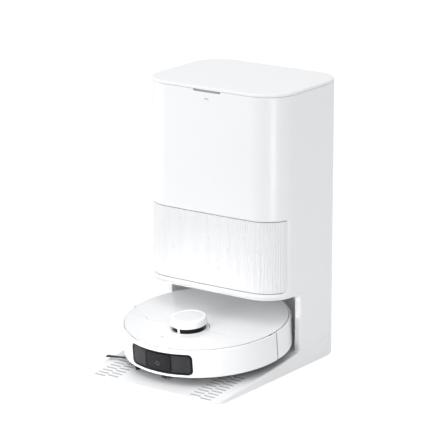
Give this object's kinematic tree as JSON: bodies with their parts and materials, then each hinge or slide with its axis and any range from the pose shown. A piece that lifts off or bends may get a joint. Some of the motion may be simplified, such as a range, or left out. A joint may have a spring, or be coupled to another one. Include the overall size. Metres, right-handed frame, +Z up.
{
  "type": "robot vacuum",
  "caption": "White disc-shaped robot vacuum and mop parked nose-out on the ramp of its tall self-emptying, mop-washing base station with hinged lid and fluted dust drawer.",
  "frame": {"origin": "centre of the footprint on the floor", "axes": "+X to the right seen from the ramp, +Y to the back of the tower, +Z up"},
  "size_m": [0.35, 0.457, 0.5905],
  "materials": {
    "white_shell": "satin white ABS",
    "white_lid": "satin white ABS",
    "white_fluted": "satin white ABS, fine upright flutes",
    "white_robot": "glossy white ABS",
    "grey_bay": "fine-textured light grey plastic",
    "grey_tread": "matt grey rubber",
    "dark_plastic": "textured black plastic",
    "smoked_window": "glossy smoked black",
    "lens_glass": "coated lens glass",
    "clear_tank": "translucent blue-grey tank plastic",
    "grey_tank": "smoky grey tank plastic",
    "metal_contact": "nickel-plated contact",
    "black_rubber": "black rubber",
    "brush_blue": "soft dark rubber and bristle",
    "mop_fabric": "looped microfibre",
    "bag_fleece": "non-woven fleece",
    "battery_wrap": "shrink-wrapped cells",
    "board_green": "circuit board",
    "icon_grey": "white cap with grey mark",
    "led_white": "frosted light guide"
  },
  "bodies": {
    "station": {"base_ramp": "white_shell", "ramp_tread_left": "grey_tread", "ramp_tread_right": "grey_tread", "rubber_feet": "black_rubber", "wash_tray": "grey_bay", "tower_shell": "white_shell", "bay_liner": "grey_bay", "mid_deck": "grey_bay", "tank_deck": "grey_bay", "status_led": "led_white", "power_inlet": "dark_plastic", "rear_hatch": "white_shell", "hinge_bridge": "white_shell", "clean_tank": "clear_tank", "clean_tank_cap": "white_lid", "dirty_tank": "grey_tank", "dirty_tank_cap": "white_lid", "suction_motor": "dark_plastic", "dust_duct": "dark_plastic", "control_board": "board_green", "dock_contacts": "metal_contact", "ir_window": "smoked_window"},
    "lid": {"lid_panel": "white_lid"},
    "drawer": {"drawer_cover": "white_fluted", "drawer_box": "grey_bay", "dust_bag": "bag_fleece"},
    "robot": {"robot_chassis": "dark_plastic", "rear_wall": "white_robot", "front_cover": "white_robot", "lidar_window": "smoked_window", "lidar_cap": "white_robot", "dust_bin": "grey_tank", "battery_pack": "battery_wrap", "robot_board": "board_green", "robot_fan": "dark_plastic", "brush_housing": "dark_plastic", "robot_contacts": "metal_contact"},
    "bumper": {"bumper": "white_robot", "front_window": "smoked_window", "camera_bezel": "smoked_window", "camera_lens": "lens_glass"},
    "rear_cover": {"rear_cover": "white_robot"},
    "lidar": {"lidar_rotor": "dark_plastic"},
    "button_clean": {"button_clean": "icon_grey"},
    "button_power": {"button_power": "icon_grey"},
    "button_dock": {"button_dock": "icon_grey"},
    "roller": {"main_brush": "brush_blue"},
    "side_brush": {"side_brush": "black_rubber"},
    "caster_fork": {"caster_fork": "dark_plastic"},
    "caster_wheel": {"caster_wheel": "black_rubber"},
    "arm_left": {"wheel_arm_left": "dark_plastic"},
    "arm_right": {"wheel_arm_right": "dark_plastic"},
    "wheel_left": {"drive_wheel_left": "black_rubber"},
    "wheel_right": {"drive_wheel_right": "black_rubber"},
    "mop_left": {"mop_holder_left": "dark_plastic", "mop_pad_left": "mop_fabric"},
    "mop_right": {"mop_holder_right": "dark_plastic", "mop_pad_right": "mop_fabric"}
  },
  "joints": [
    {"name": "lid_hinge", "type": "hinge", "parent": "station", "child": "lid", "pos_m": [0, 0.2195, 0.5815], "axis": [-1, 0, 0], "range_deg": [0, 100]},
    {"name": "drawer_slide", "type": "slide", "parent": "station", "child": "drawer", "axis": [0, -1, 0], "range_m": [0, 0.12]},
    {"name": "robot_undock", "type": "slide", "parent": "station", "child": "robot", "axis": [0, -0.9948, -0.1019], "range_m": [0, 0.1]},
    {"name": "bumper_press", "type": "slide", "parent": "robot", "child": "bumper", "axis": [0, 0.9948, 0.1019], "range_m": [0, 0.0025], "stiffness_N_per_m": 900, "springref_m": -0.002},
    {"name": "rear_cover_lift", "type": "slide", "parent": "robot", "child": "rear_cover", "axis": [0, -0.1019, 0.9948], "range_m": [0, 0.03]},
    {"name": "button_clean_press", "type": "slide", "parent": "robot", "child": "button_clean", "axis": [0, 0.1019, -0.9948], "range_m": [0, 0.0008], "stiffness_N_per_m": 400, "springref_m": -0.0005},
    {"name": "button_power_press", "type": "slide", "parent": "robot", "child": "button_power", "axis": [0, 0.1019, -0.9948], "range_m": [0, 0.0008], "stiffness_N_per_m": 400, "springref_m": -0.0005},
    {"name": "button_dock_press", "type": "slide", "parent": "robot", "child": "button_dock", "axis": [0, 0.1019, -0.9948], "range_m": [0, 0.0008], "stiffness_N_per_m": 400, "springref_m": -0.0005},
    {"name": "lidar_spin", "type": "hinge", "parent": "robot", "child": "lidar", "pos_m": [0, -0.09011, 0.08511], "axis": [0, -0.1019, 0.9948], "continuous": true},
    {"name": "roller_spin", "type": "hinge", "parent": "robot", "child": "roller", "pos_m": [0, -0.06876, 0.04357], "axis": [1, 0, 0], "continuous": true},
    {"name": "side_brush_spin", "type": "hinge", "parent": "robot", "child": "side_brush", "pos_m": [-0.112, -0.13079, 0.02104], "axis": [0, -0.1019, 0.9948], "continuous": true},
    {"name": "caster_swivel", "type": "hinge", "parent": "robot", "child": "caster_fork", "pos_m": [0, -0.16018, 0.0136], "axis": [0, -0.1019, 0.9948], "continuous": true},
    {"name": "caster_roll", "type": "hinge", "parent": "caster_fork", "child": "caster_wheel", "pos_m": [0, -0.15852, 0.02684], "axis": [1, 0, 0], "continuous": true},
    {"name": "wheel_swing_left", "type": "hinge", "parent": "robot", "child": "arm_left", "pos_m": [-0.118, -0.06656, 0.06139], "axis": [1, 0, 0], "range_deg": [0, 5], "stiffness_Nm_per_rad": 12, "springref_deg": -5.16},
    {"name": "wheel_spin_left", "type": "hinge", "parent": "arm_left", "child": "wheel_left", "pos_m": [-0.118, -0.02626, 0.06049], "axis": [1, 0, 0], "continuous": true},
    {"name": "mop_spin_left", "type": "hinge", "parent": "robot", "child": "mop_left", "pos_m": [-0.0635, 0.07041, 0.03924], "axis": [0, -0.1019, 0.9948], "continuous": true},
    {"name": "wheel_swing_right", "type": "hinge", "parent": "robot", "child": "arm_right", "pos_m": [0.118, -0.06656, 0.06139], "axis": [1, 0, 0], "range_deg": [0, 5], "stiffness_Nm_per_rad": 12, "springref_deg": -5.16},
    {"name": "wheel_spin_right", "type": "hinge", "parent": "arm_right", "child": "wheel_right", "pos_m": [0.118, -0.02626, 0.06049], "axis": [1, 0, 0], "continuous": true},
    {"name": "mop_spin_right", "type": "hinge", "parent": "robot", "child": "mop_right", "pos_m": [0.0635, 0.07041, 0.03924], "axis": [0, -0.1019, 0.9948], "continuous": true}
  ]
}
